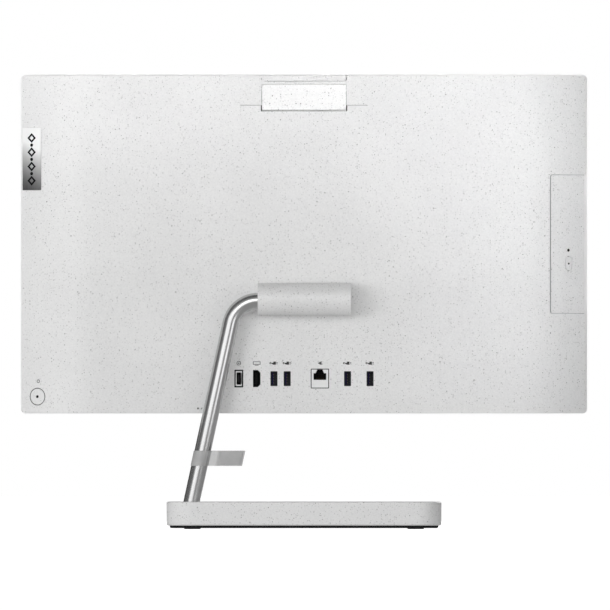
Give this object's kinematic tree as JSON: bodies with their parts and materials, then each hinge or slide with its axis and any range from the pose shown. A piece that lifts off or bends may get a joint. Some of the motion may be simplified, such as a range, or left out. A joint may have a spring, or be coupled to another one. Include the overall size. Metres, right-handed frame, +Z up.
{
  "type": "all in one pc",
  "caption": "Desktop computer built into its tilting display, with pop-up camera and side disc drive, on a bent steel tube and flat weighted base.",
  "frame": {"origin": "on the table, under the middle of the base", "axes": "+X across the screen, towards the side with the power button; +Y out of the rear cover, away from the screen; +Z up"},
  "size_m": [0.541, 0.185, 0.4338],
  "materials": {
    "speckled_plastic": "white moulded plastic with fine grey specks, satin",
    "white_plastic": "plain white moulded plastic, satin",
    "black_plastic": "black moulded plastic",
    "clear_plastic": "translucent grey plastic",
    "satin_steel": "satin steel tube",
    "plated_steel": "plated sheet and turned steel",
    "aluminium": "plain aluminium",
    "copper": "copper",
    "screen_glass": "dark switched-off screen, low gloss",
    "circuit_board": "green laminate",
    "rubber": "matt rubber",
    "badge_metal": "satin metal plate, blank",
    "panel_back": "grey metal and plastic back of the screen module"
  },
  "bodies": {
    "stand": {"base_shell": "speckled_plastic", "base_weight_plate": "plated_steel", "base_bottom_cover": "black_plastic", "base_foot_1": "rubber", "base_foot_2": "rubber", "base_foot_3": "rubber", "base_foot_4": "rubber", "tube_flange": "plated_steel", "flange_screw_1": "plated_steel", "flange_screw_2": "plated_steel", "flange_screw_3": "plated_steel", "flange_screw_4": "plated_steel", "stand_tube": "satin_steel", "hinge_shaft": "plated_steel", "friction_washer_1": "plated_steel", "friction_washer_2": "plated_steel", "hinge_nut": "plated_steel"},
    "display": {"front_frame": "white_plastic", "lower_bezel": "white_plastic", "screen_glass": "screen_glass", "lcd_panel": "panel_back", "chassis_plate": "plated_steel", "back_cover": "speckled_plastic", "rear_badge": "badge_metal", "hinge_bracket": "plated_steel", "hinge_cover": "speckled_plastic", "dc_inlet": "black_plastic", "hdmi_socket": "black_plastic", "usb_socket_1": "black_plastic", "usb_socket_2": "black_plastic", "usb_socket_3": "black_plastic", "usb_socket_4": "black_plastic", "lan_socket": "white_plastic", "main_board": "circuit_board", "memory_module_1": "circuit_board", "memory_module_2": "circuit_board", "solid_state_drive": "circuit_board", "wireless_card": "circuit_board", "cooling_block": "copper", "heat_pipe": "copper", "heat_sink": "aluminium", "fan_housing": "black_plastic", "drive_bracket": "plated_steel", "hard_drive": "aluminium", "speaker_left": "black_plastic", "speaker_right": "black_plastic", "camera_guide": "black_plastic", "optical_drive_case": "plated_steel"},
    "camera": {"camera_head": "speckled_plastic", "camera_lens": "screen_glass", "camera_slider": "white_plastic"},
    "disc_drawer": {"tray_bezel": "speckled_plastic", "disc_tray": "black_plastic"},
    "disc_hub": {"disc_hub": "plated_steel"},
    "laser_sled": {"laser_sled": "plated_steel"},
    "eject_button": {"eject_button": "speckled_plastic"},
    "power_button": {"power_button": "speckled_plastic"},
    "fan_rotor": {"fan_rotor": "black_plastic"},
    "cable_clip": {"cable_clip": "clear_plastic"}
  },
  "joints": [
    {"name": "display_tilt", "type": "hinge", "parent": "stand", "child": "display", "pos_m": [0, 0.038, 0.2175], "axis": [-1, 0, 0], "range_deg": [-5, 15]},
    {"name": "camera_slide", "type": "slide", "parent": "display", "child": "camera", "axis": [0, 0, 1], "range_m": [0, 0.017]},
    {"name": "disc_drawer_slide", "type": "slide", "parent": "display", "child": "disc_drawer", "axis": [-1, 0, 0], "range_m": [0, 0.126]},
    {"name": "disc_hub_spin", "type": "hinge", "parent": "disc_drawer", "child": "disc_hub", "pos_m": [-0.188, -0.003, 0.2719], "axis": [0, 1, 0], "continuous": true},
    {"name": "laser_sled_slide", "type": "slide", "parent": "disc_drawer", "child": "laser_sled", "axis": [1, 0, 0], "range_m": [0, 0.028]},
    {"name": "eject_button_press", "type": "slide", "parent": "disc_drawer", "child": "eject_button", "axis": [0.4603, -0.8877, 0], "range_m": [0, 0.0008], "stiffness_N_per_m": 600, "springref_m": -0.0008},
    {"name": "power_button_press", "type": "slide", "parent": "display", "child": "power_button", "axis": [-0.4769, -0.879, 0], "range_m": [0, 0.001], "stiffness_N_per_m": 800, "springref_m": -0.001},
    {"name": "fan_spin", "type": "hinge", "parent": "display", "child": "fan_rotor", "pos_m": [0.165, 0, 0.348], "axis": [0, 1, 0], "continuous": true},
    {"name": "cable_clip_slide", "type": "slide", "parent": "stand", "child": "cable_clip", "axis": [-0.213, 0, 0.977], "range_m": [-0.03, 0.033]}
  ]
}
